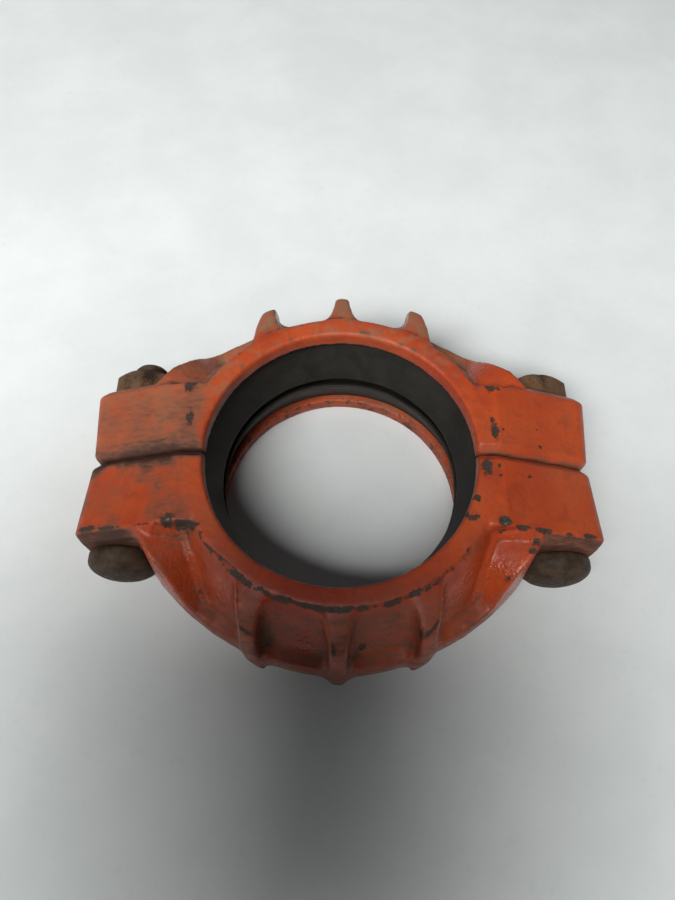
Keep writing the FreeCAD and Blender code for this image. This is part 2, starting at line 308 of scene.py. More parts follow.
def worn_paint(points, edge, seed):
    """Amount of paint wear: on edges, along the ring and the pads' creases, and at the chips."""
    x, y, z = (points / MM).T
    radius = np.hypot(x, y)
    patches = fractal(points, 8.0 * MM, 3, seed + 2)
    patchy = ease(patches, -0.35, 0.35)
    edges = EDGE_WEAR * ease(edge, *EDGE_CONVEXITY) * patchy
    near = ease(-y, 22.0, 48.0)
    near_wear = NEAR_RING_WEAR[0] + NEAR_RING_WEAR[1] * ease(patches, -0.45, 0.25)
    near_wear = near_wear - NEAR_RIGHT_LESS * ease(x, 24.0, 34.0)
    far_wear = FAR_RING_WEAR * patchy * (np.abs(x) < 50.0)
    ring_edge = hump(radius, RING_EDGE_RADIUS, RING_EDGE_WIDTH) * (z > RING_EDGE_FROM)
    ring_wear = ring_edge * (near * near_wear + (1.0 - near) * far_wear)
    on_crease = hump(y, -PAD_CREASE_Y, PAD_CREASE_WIDTH) * (np.abs(x) > PAD_INNER_X) * (z > 10.0)
    crease_wear = on_crease * (CREASE_WEAR[0] + CREASE_WEAR[1] * patches)
    on_key = (radius < KEY_OUTER_RADIUS) * (z < KEY_FACE_BELOW) * (y > 0.0)
    key_wear = on_key * (KEY_WEAR[0] + KEY_WEAR[1] * patches)
    known = np.maximum(spots_on_top(points, CHIPS), round_spots(points, DEEP_SPOTS))
    known = np.maximum(known, LINE_WEAR * near_lines(points, DARK_LINES, LINE_HALF_WIDTH))
    return np.maximum.reduce([edges, ring_wear, crease_wear, key_wear, known])


def grime_and_shade(points, edge, seed):
    """Amount of dirt and painted shade, from a brown film to a dark crust.

    Dirt lies on the left pads, along the split and on the far part of the ring's face. Inner
    corners get dirt and painted shade, the amount grows towards the bottom, and the near rib bays
    and the pads' near ends get painted shade.
    """
    x, y, z = (points / MM).T
    radius = np.hypot(x, y)
    clouds = fractal(points, 16.0 * MM, 4, seed + 4)
    blotches = fractal(points, 5.0 * MM, 3, seed + 7)

    near_band = hump(np.maximum(-2.5 - y, 0.0), 0.0, 4.0) * (y < 0.0)
    far_band = hump(np.maximum(y - 3.0, 0.0), 0.0, 6.0) * (y > 0.0)
    band = NEAR_BAND_DIRT * ease(0.6 * clouds + 0.62, 0.0, 1.0) * near_band
    band = band + FAR_BAND_DIRT * far_band
    stain = STAIN_DIRT * ease(y, 0.0, 6.0) * (1.0 + 0.5 * clouds)
    smudge = SMUDGE_DIRT * ease(-y, 4.0, 8.0) * (1.0 + 2.2 * clouds)
    on_left_pads = ease(-x, *PAD_FACE_FROM) * ease(z, 8.0, 14.0)
    left_pads = on_left_pads * (np.maximum(band, stain) + smudge)

    gap = GAP_DIRT * np.exp(-np.abs(y) / 1.2)
    # Inner corners get dirt and painted shade, less on the far top faces.
    clean_top = ease(y, 2.0, 6.0) * (z > 27.0)
    corner = CORNER_DIRT_AND_SHADE * ease(-edge, *CORNER_CONCAVITY) * (1.0 - 0.8 * clean_top)

    ring_face = ease(y, 3.0, 20.0) * (z > RING_FACE_FROM)
    ring_face = ring_face * (1.0 - ease(np.abs(x), *RING_HALF_SPREAD))
    inner_line = INNER_RING_DIRT * hump(radius, INNER_LINE_RADIUS, INNER_LINE_WIDTH)
    outer_line = OUTER_RING_DIRT * hump(radius, OUTER_LINE_RADIUS, OUTER_LINE_WIDTH)
    ring_dirt = ring_face * (inner_line + outer_line) * ease(blotches, -0.80, 0.10)
    ring_dirt += BLOTCH_DIRT * ring_face * ease(blotches, 0.10, 0.55)

    # Darker towards the bottom.
    low = LOW_DARKENING * ease(-z, 0.0, 26.0)
    # Painted shade on the near rib bays and on the pads' near end faces.
    near_bay_shade = NEAR_BAY_SHADE * ease(-y, 45.0, 65.0) * ease(radius, 64.0, 68.0)
    near_end_shade = NEAR_END_SHADE * ease(-y, 31.4, 32.4) * ease(np.abs(x), *NEAR_END_FROM_X)
    value = near_end_shade + left_pads + gap + corner + ring_dirt + low + near_bay_shade
    return np.clip(value + CLOUD_DIRT * clouds, 0.0, 1.0)


def dust(points, normals, seed):
    """Amount of dry brown dust: on faces that look up, most of all on the far outer wall."""
    x, y = (points / MM).T[:2]
    clouds = fractal(points, 30.0 * MM, 4, seed + 6)
    upward = ease(normals[:, 2], 0.1, 0.9)
    wall = ease(np.hypot(x, y), *WALL_RADIUS) * ease(y, 10.0, 40.0) * (np.abs(x) < 58.0)
    far_left = ease(-x, 54.0, 60.0) * ease(y, 1.0, 4.0)
    blotches = fractal(points, 4.5 * MM, 4, seed + 8)
    mottled = MOTTLED_DUST * ease(y, 4.0, 30.0) * ease(blotches, -0.20, 0.60)
    mottled *= 1.0 - ease(np.abs(x), *PAD_FACE_FROM)
    layer = THIN_DUST + WALL_DUST * wall + FAR_LEFT_DUST * far_left + mottled
    return np.clip(layer * upward + CLOUD_DUST * clouds, 0.0, 1.0)


def painted_shade(points, normals):
    """Painted shade: the near ring and bays darkened as if in shadow, most of all on the left and
    least on the rib tops.
    """
    x, y = (points / MM).T[:2]
    near = ease(-y, 24.0, 56.0) * (1.0 - ease(np.abs(x), 50.0, 74.0))
    near = near * (1.0 - 0.45 * ease(x, 10.0, 40.0))
    rib_tops = ease(np.hypot(x, y), 67.0, 69.0) * ease(normals[:, 2], 0.2, 0.7)
    return near * (1.0 - 0.6 * rib_tops)


def runny(points, normals):
    """Where the paint ran together and dried glossy: in the bays and beside the pads."""
    x, y = np.abs(points / MM).T[:2]
    outside = ease(np.hypot(x, y), 66.0, 70.0) * ease(y, 31.5, 34.0) * (x < 74.0)
    return outside * ease(-np.abs(normals[:, 2]), -0.97, -0.80)


# ---------------------------------------------------------------- castings

VOXEL = 0.8 * MM
LAST_VOXEL = 0.87 * MM
WELD_REACH = 0.01 * MM
FILLET = 3.6 * MM
EDGE_ROUND = 0.9 * MM
SNAP_REACH = 0.55 * MM
SNAP_FROM_X = (38.0 * MM, 54.0 * MM)
EDGE_CRISPNESS = 0.85
RIB_FROM_RADIUS = (67.0 * MM, 70.0 * MM)
RIB_HALF_SPREAD = 50.0 * MM
RIB_PASSES = 10
CONVEXITY_PASSES = 3
SPLIT_BORDER = 2.0 * MM
SKIN_WAVE = 24.0 * MM
SKIN_GRAIN = 3.5 * MM
# Wear at which the paint's edge begins to drop and where it has dropped to the iron.
CHIP_WEAR = (0.45, 0.6)
# In mm: height of the skin's waves and grain, how far it is lowered, and a chip's depth.
WAVE_HEIGHT, GRAIN_HEIGHT, SKIN_DROP, CHIP_DEPTH = 0.14, 0.05, 0.12, 0.16


def crisp(points, node):
    """Bring points close to the pads' and hollows' design faces onto them, to keep edges sharp."""
    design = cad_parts[node].data
    tree = BVHTree.FromPolygons([v.co for v in design.vertices],
                                [list(p.vertices) for p in design.polygons])
    nearest = [tree.find_nearest(Vector(point)) for point in points]
    places = np.array([hit[0] for hit in nearest])
    distance = np.array([hit[3] for hit in nearest])
    pull = 1.0 - ease(distance, SNAP_REACH, 2.0 * SNAP_REACH)
    pull = pull * ease(np.abs(points[:, 0]), *SNAP_FROM_X)
    return points + (places - points) * (EDGE_CRISPNESS * pull)[:, None]


def casting(node, name, seed):
    """Cast version of a housing: filleted inner corners, rounded edges and an uneven skin."""
    piece = new_piece(name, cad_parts[node].data.copy())
    weld = piece.modifiers.new("weld", "WELD")
    weld.merge_threshold = WELD_REACH
    for offset in (FILLET, -FILLET - EDGE_ROUND, EDGE_ROUND):
        add_remesh(piece, VOXEL)
        add_offset(piece, offset)
    add_remesh(piece, LAST_VOXEL)
    add_smooth(piece, 1)
    mesh = applied(piece)

    points = crisp(vertex_array(mesh, "vertices"), node)
    on_ribs = ease(np.hypot(*points.T[:2]), *RIB_FROM_RADIUS)
    on_ribs = on_ribs * (np.abs(points[:, 0]) < RIB_HALF_SPREAD)
    points = relaxed(mesh, points, on_ribs, RIB_PASSES)
    set_places(mesh, points)

    normals = vertex_array(mesh, "vertex_normals")
    edge = convexity(mesh, points, normals, CONVEXITY_PASSES)
    wear = worn_paint(points, edge, seed)
    waves = fractal(points, SKIN_WAVE, 2, seed)
    grain = fractal(points, SKIN_GRAIN, 3, seed + 1)
    away_from_split = ease(np.abs(points[:, 1]) - abs(SPLIT_Y), 0.0, SPLIT_BORDER)
    lift = (WAVE_HEIGHT * waves + GRAIN_HEIGHT * grain - SKIN_DROP) * away_from_split
    lift = lift - CHIP_DEPTH * ease(wear, *CHIP_WEAR)
    places = points + normals * (lift * MM)[:, None]
    places[:, 2] = np.clip(places[:, 2], FLOOR_Z, HALF_WIDTH)
    set_places(mesh, places)

    store(mesh, "wear", wear)
    # Dirt, with painted shade on the near faces and in inner corners.
    store(mesh, "grime_and_shade", grime_and_shade(points, edge, seed))
    store(mesh, "dust", dust(points, normals, seed))
    store(mesh, "bare", spots_on_top(points, [(x, y, half, half) for x, y, half in GLINTS]))
    store(mesh, "runny", runny(points, normals))
    # Painted shade on the near ring and bays.
    store(mesh, "painted_shade", painted_shade(points, normals))
    return piece


# ---------------------------------------------------------------- turned pieces

def around(count):
    """Angles of the columns of a turned piece, from +Z towards +X about the Y axis."""
    return np.arange(count) * TURN / count


def turned_rows(centre_x, angle, profile):
    """Rows of points round an axis along Y, one row for each (y, radius) of the profile."""
    rows = []
    for y, radius in profile:
        radius = np.broadcast_to(radius, angle.shape)
        x, z = centre_x + radius * np.sin(angle), radius * np.cos(angle)
        rows.append(np.stack([x, np.broadcast_to(y, angle.shape), z], axis=1))
    return np.array(rows)


def grid_piece(name, rows, closed):
    """Mesh over rows of points that go round; the rows close on themselves or end in flat caps."""
    row_count, column_count = rows.shape[:2]
    index = np.arange(row_count * column_count).reshape(row_count, column_count)
    beside = np.roll(index, -1, axis=1)
    last = row_count if closed else row_count - 1
    corners = [index, beside, np.roll(beside, -1, axis=0), np.roll(index, -1, axis=0)]
    faces = np.stack(corners, axis=2)[:last].reshape(-1, 4).tolist()
    if not closed:
        faces.append(index[0][::-1].tolist())
        faces.append(index[-1].tolist())
    mesh = bpy.data.meshes.new(name)
    mesh.from_pydata(rows.reshape(-1, 3).tolist(), [], faces)
    mesh.update()
    return new_piece(name, mesh)


def rounded(corners, radius, steps):
    """Round the corners of a closed outline of (u, v) points."""
    result = []
    count = len(corners)
    for number in range(count):
        corner = np.array(corners[number])
        before = np.array(corners[number - 1]) - corner
        after = np.array(corners[(number + 1) % count]) - corner
        reach = min(radius, 0.45 * np.linalg.norm(before), 0.45 * np.linalg.norm(after))
        start = corner + before / np.linalg.norm(before) * reach
        end = corner + after / np.linalg.norm(after) * reach
        for t in np.linspace(0.0, 1.0, steps):
            result.append((1 - t) ** 2 * start + 2 * t * (1 - t) * corner + t * t * end)
    return np.array(result)


THREAD_RADIUS = 7.9 * MM
THREAD_PITCH = 25.4 / 11.0 * MM
THREAD_DEPTH = 1.25 * MM
# The flat crest's and the flank's share of half a pitch.
CREST_SHARE, FLANK_SHARE = 0.125, 0.625


def thread_depth(angle, y):
    """Depth below the crest of a right-hand 60 degree thread, shared by the bolts and the nuts."""
    phase = (y / THREAD_PITCH - angle / TURN) % 1.0
    rise = (np.abs(2.0 * phase - 1.0) - CREST_SHARE) / FLANK_SHARE
    return THREAD_DEPTH * np.clip(rise, 0.0, 1.0)


BOLT_COLUMNS = 96
DOME_RINGS = 18
DOME_ARC = math.radians(86.0)
# Powers that flatten the dome a little, as forged heads are.
DOME_RISE_POWER, DOME_REACH_POWER = 0.92, 0.96
DOME_CLEARANCE = 0.15 * MM
HEAD_RIM = 3.2 * MM
HEAD_EDGE = 1.0 * MM
NECK_LENGTH = 9.0 * MM
NECK_HALF_WIDTH = 8.2 * MM
NECK_FILLET = 0.4 * MM
OVAL_OFFSET = 1.6 * MM
OVAL_POWER = 1.5
THREAD_LENGTH = 44.0 * MM
RINGS_PER_PITCH = 10
RUN_OUT_PITCHES = 1.5
END_CHAMFER = 1.7 * MM
END_CHAMFER_SLOPE = 0.9
HEAD_UNEVENNESS = 0.10 * MM
BOLT_RUST = 0.20


def bolt_piece(node, name, seat_y, seed):
    """Track bolt: forged domed head, oval neck, plain shank and a rolled thread."""
    low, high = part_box(node)
    centre_x = (low.x + high.x) / 2.0
    head_radius = (high.x - low.x) / 2.0
    angle = around(BOLT_COLUMNS)

    rim_y = seat_y - HEAD_RIM
    dome_height = rim_y - low.y - DOME_CLEARANCE
    profile = []
    for t in np.linspace(0.02, 1.0, DOME_RINGS):
        arc = t * DOME_ARC
        profile.append((rim_y - dome_height * math.cos(arc) ** DOME_RISE_POWER,
                        head_radius * math.sin(arc) ** DOME_REACH_POWER))
    profile += [
        (rim_y + 0.3 * HEAD_RIM, head_radius * 0.999),
        (seat_y - HEAD_EDGE, head_radius * 0.992),
        (seat_y - 0.3 * HEAD_EDGE, head_radius - 0.5 * HEAD_EDGE),
        (seat_y, head_radius - HEAD_EDGE),
    ]

    oval = NECK_HALF_WIDTH + OVAL_OFFSET * np.abs(np.sin(angle)) ** OVAL_POWER
    thread_start = high.y - THREAD_LENGTH
    profile += [
        (seat_y, oval + NECK_FILLET),
        (seat_y + 0.5 * MM, oval),
        (seat_y + NECK_LENGTH - 1.0 * MM, oval),
        (seat_y + NECK_LENGTH, THREAD_RADIUS),
        (thread_start - 1.0 * MM, THREAD_RADIUS),
    ]

    thread_rings = int(THREAD_LENGTH / THREAD_PITCH * RINGS_PER_PITCH)
    for y in np.linspace(thread_start, high.y, thread_rings):
        fade = min(1.0, (y - thread_start) / (RUN_OUT_PITCHES * THREAD_PITCH))
        chamfer = max(0.0, y - high.y + END_CHAMFER) * END_CHAMFER_SLOPE
        cut = THREAD_RADIUS - fade * thread_depth(angle, y)
        profile.append((y, np.minimum(cut, THREAD_RADIUS - chamfer)))
    profile += [(high.y, 3.0 * MM), (high.y - 0.25 * MM, 0.6 * MM)]

    piece = grid_piece(name, turned_rows(centre_x, angle, profile), False)
    roughen(piece, HEAD_UNEVENNESS, 5.0 * MM, seed, seat_y)
    store_rust(piece, BOLT_RUST, seed)
    return piece


def roughen(piece, height, size, seed, limit_y):
    """Give a bolt's forged head, which lies below limit_y along Y, a slight unevenness."""
    mesh = piece.data
    points = vertex_array(mesh, "vertices")
    normals = vertex_array(mesh, "vertex_normals")
    on_head = points[:, 1] < limit_y - 0.1 * MM
    amount = (fractal(points, size, 3, seed) - 0.5) * on_head
    set_places(mesh, points + normals * (height * amount)[:, None])


def store_rust(piece, mean, seed):
    """Save how rusty each point of a fastener is."""
    points = vertex_array(piece.data, "vertices")
    store(piece.data, "rust", mean + 0.5 * fractal(points, 9.0 * MM, 3, seed))


NUT_COLUMNS = 144
NUT_CORNER_CUT = 0.35 * MM
NUT_FACE_INSET = 0.7 * MM
NUT_CHAMFER_HEIGHT = 2.4 * MM
NUT_CHAMFER_RINGS = 9
NUT_CHAMFER_SLOPE = 0.6
NUT_THREAD_RINGS = 60
COUNTERSINK = 0.9 * MM
BORE_CLEARANCE = 0.12 * MM
SHARP_ANGLE = math.radians(32.0)
NUT_RUST = 0.74


def nut_piece(node, name, seed):
    """Hex nut with bevelled corners on both faces and a threaded bore."""
    low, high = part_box(node)
    centre_x = (low.x + high.x) / 2.0
    flat_radius = high.z
    corner_radius = (high.x - low.x) / 2.0
    angle = around(NUT_COLUMNS)
    from_flat = (angle % (TURN / 6.0)) - TURN / 12.0
    hexagon = np.minimum(flat_radius / np.cos(from_flat), corner_radius - NUT_CORNER_CUT)

    inner = flat_radius - NUT_FACE_INSET
    depths = np.linspace(0.0, NUT_CHAMFER_HEIGHT, NUT_CHAMFER_RINGS)
    bevel = [np.minimum(hexagon, inner + depth / NUT_CHAMFER_SLOPE + 0.1 * MM) for depth in depths]
    profile = [(low.y + depth, radius) for depth, radius in zip(depths, bevel)]
    profile += [(high.y - depth, radius) for depth, radius in zip(depths[::-1], bevel[::-1])]

    bore = THREAD_RADIUS + BORE_CLEARANCE
    profile.append((high.y, bore + COUNTERSINK))
    start, end = high.y - COUNTERSINK, low.y + COUNTERSINK
    for y in np.linspace(start, end, NUT_THREAD_RINGS):
        fade = min(1.0, (start - y) / THREAD_PITCH, (y - end) / THREAD_PITCH)
        profile.append((y, bore - fade * thread_depth(angle, y)))
    profile.append((low.y, bore + COUNTERSINK))

    piece = grid_piece(name, turned_rows(centre_x, angle, profile), True)
    piece.data.set_sharp_from_angle(angle=SHARP_ANGLE)
    store_rust(piece, NUT_RUST, seed)
    return piece


GASKET_COLUMNS = 288
GASKET_ROUNDING = 0.9
GASKET_CORNER_STEPS = 5


def gasket_piece(name, seed):
    """Moulded ring of C-section with two sealing lips, all its corners rounded."""
    outer = GASKET_HIGH.x / MM
    side = GASKET_HIGH.z / MM
    # Half of the section as (radius, height) in mm: from the lip's tip over its back, the side
    # face and the heel, then back along the channel inside.
    skin = [
        (51.2, 3.3), (51.5, 4.6), (57.4, side - 5.3), (58.3, side - 0.9), (59.6, side),
        (62.0, side), (outer, 16.6),
    ]
    channel = [(outer - 4.6, 17.5), (outer - 5.6, 19.0), (54.0, 4.4), (52.2, 3.2)]
    lower_skin = [(radius, -height) for radius, height in reversed(skin)]
    lower_channel = [(radius, -height) for radius, height in reversed(channel)]
    outline = skin + lower_skin + lower_channel + channel
    outline = rounded(outline[::-1], GASKET_ROUNDING, GASKET_CORNER_STEPS) * MM
    angle = around(GASKET_COLUMNS)
    rows = [np.stack([r * np.sin(angle), r * np.cos(angle), np.full_like(angle, z)], axis=1)
            for r, z in outline]
    piece = grid_piece(name, np.array(rows), True)
    points = vertex_array(piece.data, "vertices")
    store(piece.data, "dust", 0.5 + 0.5 * fractal(points, 14.0 * MM, 4, seed))
    return piece


# ---------------------------------------------------------------- materials

class Nodes:
    """Short way to add and join the nodes of one material."""

    def __init__(self, name):
        self.material = bpy.data.materials.new(name)
        self.material.use_nodes = True
        self.tree = self.material.node_tree
        self.shader = self.tree.nodes["Principled BSDF"]

    def add(self, kind, **settings):
        node = self.tree.nodes.new(kind)
        for key, value in settings.items():
            setattr(node, key, value)
        return node

    def join(self, value, socket):
        """Set a socket to a plain value, or link it to another node's output."""
        if isinstance(value, bpy.types.NodeSocket):
            self.tree.links.new(value, socket)
        else:
            socket.default_value = value

    def coordinates(self, stretch=(1.0, 1.0, 1.0)):
        """The object's own coordinates, scaled along its axes."""
        place = self.add("ShaderNodeTexCoord").outputs["Object"]
        mapping = self.add("ShaderNodeMapping")
        self.join(place, mapping.inputs["Vector"])
        self.join(stretch, mapping.inputs["Scale"])
        return mapping.outputs["Vector"]

    def noise(self, wavelength, detail=3.0, roughness=0.55, stretch=(1.0, 1.0, 1.0),
              distortion=0.0):
        """Cloudy noise from 0 to 1 with its largest wavelength in metres."""
        node = self.add("ShaderNodeTexNoise")
        self.join(self.coordinates(stretch), node.inputs["Vector"])
        self.join(1.0 / wavelength, node.inputs["Scale"])
        self.join(detail, node.inputs["Detail"])
        self.join(roughness, node.inputs["Roughness"])
        self.join(distortion, node.inputs["Distortion"])
        return node.outputs["Fac"]

    def specks(self, spacing, size, share):
        """Small round spots in a random share of cells."""
        node = self.add("ShaderNodeTexVoronoi")
        self.join(self.coordinates(), node.inputs["Vector"])
        self.join(1.0 / spacing, node.inputs["Scale"])
        near = self.ramp(node.outputs["Distance"], size, 0.6 * size)
        chosen = self.ramp(self.channel(node.outputs["Color"], 0), share, share * 0.96)
        return self.math("MULTIPLY", near, chosen)

    def channel(self, colour, number):
        """One channel of a colour."""
        split = self.add("ShaderNodeSeparateColor")
        self.join(colour, split.inputs["Color"])
        return split.outputs[number]

    def attribute(self, name):
        """A number saved on the mesh by store()."""
        return self.add("ShaderNodeAttribute", attribute_name=name).outputs["Fac"]

    def math(self, operation, first, second=0.0):
        node = self.add("ShaderNodeMath", operation=operation)
        self.join(first, node.inputs[0])
        self.join(second, node.inputs[1])
        return node.outputs[0]

    def centred(self, value, scale):
        """Noise from 0 to 1 turned into values about 0, times scale."""
        return self.math("MULTIPLY", self.math("SUBTRACT", value, 0.5), scale)

    def ramp(self, value, low, high, to_low=0.0, to_high=1.0):
        """Smooth step between two values, which may be in falling order."""
        node = self.add("ShaderNodeMapRange", interpolation_type="SMOOTHSTEP")
        if low > high:
            low, high, to_low, to_high = high, low, to_high, to_low
        self.join(value, node.inputs["Value"])
        self.join(low, node.inputs["From Min"])
        self.join(high, node.inputs["From Max"])
        self.join(to_low, node.inputs["To Min"])
        self.join(to_high, node.inputs["To Max"])
        return node.outputs["Result"]

    def mix(self, amount, first, second):
        """Mix two colours, given as three numbers or as outputs."""
        node = self.add("ShaderNodeMix", data_type="RGBA")
        self.join(amount, node.inputs["Factor"])
        for value, socket in ((first, node.inputs[6]), (second, node.inputs[7])):
            self.join((*value, 1.0) if isinstance(value, tuple) else value, socket)
        return node.outputs[2]

    def blend(self, amount, first, second):
        """Mix two numbers."""
        node = self.add("ShaderNodeMix", data_type="FLOAT")
        self.join(amount, node.inputs["Factor"])
        self.join(first, node.inputs[2])
        self.join(second, node.inputs[3])
        return node.outputs[0]

    def bump(self, height, distance, strength=1.0):
        """Fine relief; distance is how high a height of 1 stands."""
        node = self.add("ShaderNodeBump")
        self.join(height, node.inputs["Height"])
        self.join(distance, node.inputs["Distance"])
        self.join(strength, node.inputs["Strength"])
        self.join(node.outputs["Normal"], self.shader.inputs["Normal"])

    def specular(self, level):
        """Set the shader's own specular level."""
        self.shader.inputs["Specular IOR Level"].default_value = level

    def finish(self, colour, roughness, metallic=0.0):
        """Join the results to the shader and return the material."""
        self.join(colour, self.shader.inputs["Base Color"])
        self.join(roughness, self.shader.inputs["Roughness"])
        self.join(metallic, self.shader.inputs["Metallic"])
        return self.material


# Colours in linear light.
ENAMEL_DEEP, ENAMEL_BRIGHT = (0.39, 0.044, 0.010), (0.47, 0.066, 0.014)
# The second colour on the next line is painted shade for the near ring and bays; the first is a
# random darker tone.
ENAMEL_SHADED, ENAMEL_PAINTED_SHADE = (0.28, 0.032, 0.009), (0.235, 0.024, 0.008)
SPECKLE_BROWN = (0.24, 0.058, 0.024)
DUST_TAN = (0.26, 0.130, 0.070)
# Dirt colours, which also paint shade on the near bays, the pads' near ends and inner corners.
FILM_AND_SHADE_BROWN, CRUST_AND_SHADE_BLACK = (0.140, 0.064, 0.038), (0.022, 0.015, 0.011)
CHIP_HALO = (0.13, 0.032, 0.014)
IRON_DARK, IRON_BROWN = (0.020, 0.014, 0.010), (0.076, 0.047, 0.033)
BARE_METAL = (0.16, 0.15, 0.14)
RUBBER_DARK, RUBBER_LIGHT = (0.016, 0.014, 0.012), (0.028, 0.024, 0.020)
SCUFF_GREY = (0.070, 0.055, 0.042)
STEEL_DARK, STEEL_LIGHT = (0.032, 0.019, 0.012), (0.068, 0.040, 0.025)
RUST_BROWN, OXIDE_BLACK = (0.190, 0.092, 0.042), (0.014, 0.010, 0.008)
PAPER_SHADE, PAPER_PALE = (0.68, 0.70, 0.70), (0.74, 0.755, 0.75)
PAPER_MARK = (0.58, 0.59, 0.59)
CARD_DARK, CARD_LIGHT = (0.02, 0.02, 0.02), (0.03, 0.03, 0.03)

# Roughness, and how much the surface shines head-on.
ENAMEL_ROUGH, RUNNY_ROUGH, FILM_ROUGH, DUST_ROUGH = (0.38, 0.52), 0.20, 0.66, 0.80
CHIP_ROUGH, BARE_ROUGH = 0.65, 0.40
RUBBER_ROUGH, STEEL_ROUGH, PAPER_ROUGH, CARD_ROUGH = (0.55, 0.70), (0.52, 0.72), 0.75, 0.9
ENAMEL_SPECULAR, RUBBER_SPECULAR, STEEL_SPECULAR = 0.32, 0.22, 0.25
STEEL_METALLIC = 0.10


def paint_material():
    """Thick orange enamel over rough cast iron, with chips, dirt, dust and painted shade."""
    nodes = Nodes("orange_enamel")
    fine = nodes.noise(1.6 * MM, 4.0, 0.65)
    tiny = nodes.noise(0.5 * MM, 2.0)
    medium = nodes.noise(7.0 * MM, 4.0, 0.6, distortion=0.4)
    large = nodes.noise(30.0 * MM, 3.0, 0.5)
    streaks = nodes.noise(2.6 * MM, 5.0, 0.65, stretch=(0.35, 1.5, 1.0))
    runny_amount = nodes.attribute("runny")

    # the enamel, with its dust, dirt and painted shade
    colour = nodes.mix(nodes.ramp(large, 0.35, 0.65), ENAMEL_DEEP, ENAMEL_BRIGHT)
    colour = nodes.mix(nodes.ramp(medium, 0.45, 0.75, 0.0, 0.6), colour, ENAMEL_SHADED)
    # Painted shade: the near ring and bays made darker, as if in shadow.
    painted_shade_patches = nodes.ramp(medium, 0.2, 0.6, 0.55, 0.95)
    painted_shade_amount = nodes.math("MULTIPLY", nodes.attribute("painted_shade"), painted_shade_patches)
    colour = nodes.mix(painted_shade_amount, colour, ENAMEL_PAINTED_SHADE)
    speckle_amount = nodes.ramp(large, 0.30, 0.70, 0.15, 0.55)
    speckle = nodes.math("MULTIPLY", nodes.ramp(fine, 0.50, 0.66), speckle_amount)
    colour = nodes.mix(speckle, colour, SPECKLE_BROWN)
    dust_patches = nodes.ramp(medium, 0.20, 0.70, 0.40, 1.0)
    dust_amount = nodes.math("MULTIPLY", nodes.attribute("dust"), dust_patches)
    colour = nodes.mix(dust_amount, colour, DUST_TAN)
    # Dirt film and crust, also painted shade on the near faces and in inner corners.
    streaked = nodes.math("SUBTRACT", streaks, 0.5)
    grime_and_shade_value = nodes.math("ADD", nodes.attribute("grime_and_shade"), streaked)
    film = nodes.ramp(grime_and_shade_value, 0.06, 0.80, 0.0, 0.92)
    dirt = nodes.mix(nodes.ramp(grime_and_shade_value, 0.40, 1.05), FILM_AND_SHADE_BROWN, CRUST_AND_SHADE_BLACK)
    colour = nodes.mix(film, colour, dirt)

    # chips down to the iron, with ragged rims and a stained halo
    coarse = nodes.centred(nodes.noise(3.6 * MM, 3.0, 0.6), 0.9)
    ragged = nodes.math("ADD", nodes.centred(fine, 0.9), coarse)
    ragged = nodes.math("ADD", ragged, nodes.centred(tiny, 0.5))
    worn = nodes.math("ADD", nodes.attribute("wear"), ragged)
    chip = nodes.ramp(worn, 0.46, 0.51)
    halo = nodes.ramp(worn, 0.24, 0.50, 0.0, 0.6)
    chip = nodes.math("MAXIMUM", chip, nodes.specks(9.0 * MM, 0.060, 0.18))
    colour = nodes.mix(halo, colour, CHIP_HALO)
    iron = nodes.mix(nodes.ramp(tiny, 0.3, 0.7), IRON_DARK, IRON_BROWN)
    colour = nodes.mix(chip, colour, iron)
    bright = nodes.ramp(nodes.math("ADD", nodes.attribute("bare"), fine), 1.05, 1.20)
    bare = nodes.math("MULTIPLY", bright, chip)
    colour = nodes.mix(bare, colour, BARE_METAL)

    rough = nodes.ramp(medium, 0.3, 0.7, *ENAMEL_ROUGH)
    for amount, level in ((runny_amount, RUNNY_ROUGH), (film, FILM_ROUGH),
                          (dust_amount, DUST_ROUGH), (chip, CHIP_ROUGH), (bare, BARE_ROUGH)):
        rough = nodes.blend(amount, rough, level)

    peel = nodes.math("MULTIPLY", nodes.noise(1.3 * MM, 2.0, 0.5), runny_amount)
    height = nodes.math("MULTIPLY", nodes.noise(2.6 * MM, 3.0, 0.55), 0.9)
    height = nodes.math("ADD", height, peel)
    height = nodes.math("ADD", height, nodes.math("MULTIPLY", fine, 0.35))
    height = nodes.math("SUBTRACT", height, nodes.math("MULTIPLY", chip, 0.9))
    nodes.bump(height, 0.25 * MM)
    nodes.specular(ENAMEL_SPECULAR)
    return nodes.finish(colour, rough, bare)


def rubber_material():
    """Satin black rubber with dusty scuffs."""
    nodes = Nodes("black_rubber")
    clouds = nodes.noise(12.0 * MM, 4.0, 0.6)
    scuffs = nodes.noise(2.0 * MM, 4.0, 0.6, stretch=(1.0, 1.0, 0.25))
    colour = nodes.mix(nodes.ramp(clouds, 0.3, 0.7), RUBBER_DARK, RUBBER_LIGHT)
    colour = nodes.mix(nodes.ramp(scuffs, 0.58, 0.80, 0.0, 0.40), colour, SCUFF_GREY)
    rough = nodes.ramp(clouds, 0.3, 0.7, *RUBBER_ROUGH)
    nodes.bump(nodes.noise(0.7 * MM, 3.0), 0.10 * MM)
    nodes.specular(RUBBER_SPECULAR)
    return nodes.finish(colour, rough)


